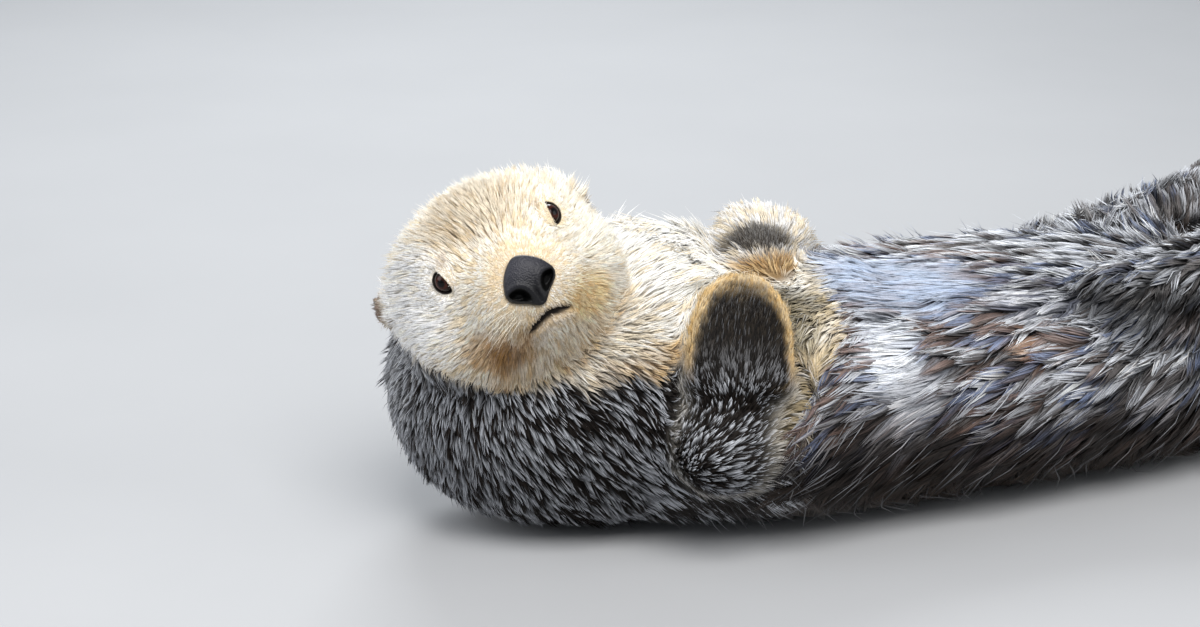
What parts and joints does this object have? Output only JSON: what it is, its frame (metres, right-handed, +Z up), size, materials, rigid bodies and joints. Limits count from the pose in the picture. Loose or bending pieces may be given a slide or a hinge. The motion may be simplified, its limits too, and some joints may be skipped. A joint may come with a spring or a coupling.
{
  "type": "sea otter, life-size still model lying on its back",
  "caption": "Still, life-size sea otter lying on its back, head turned to its right, forepaws folded on the chest, hind feet raised, tail laid flat.",
  "frame": {"origin": "bottom centre of the bounding box, on the plane that the back and the tail rest on", "axes": "+X from the head to the tail, +Y to the animal's own left, +Z up (the belly faces +Z)"},
  "size_m": [1.0798, 0.3922, 0.2868],
  "materials": {
    "cream_fur": "dense cream-white fur with golden undertones",
    "chest_fur": "cream and golden fur over brown underfur",
    "silver_fur": "wet silver-tipped locks over dark brown roots",
    "dark_fur": "dark brown fur with grizzled tips",
    "foot_fur": "short dark fur over webbed skin",
    "ear_skin": "short-haired brownish-pink skin",
    "nose_skin": "pebbled black skin with a bluish sheen",
    "eye_surface": "wet dark brown"
  },
  "bodies": {
    "root": {"head": "cream_fur", "neck": "cream_fur", "nose": "nose_skin", "eye_left": "eye_surface", "eye_right": "eye_surface", "ear_left": "ear_skin", "ear_right": "ear_skin", "chest": "chest_fur", "belly": "silver_fur", "hips": "silver_fur", "tail_base": "dark_fur", "tail_tip": "dark_fur", "upper_arm_right": "dark_fur", "forearm_right": "dark_fur", "forepaw_right": "dark_fur", "upper_arm_left": "dark_fur", "forearm_left": "dark_fur", "forepaw_left": "dark_fur", "thigh_right": "silver_fur", "shank_right": "silver_fur", "hind_foot_right": "foot_fur", "thigh_left": "silver_fur", "shank_left": "silver_fur", "hind_foot_left": "foot_fur"}
  },
  "joints": []
}
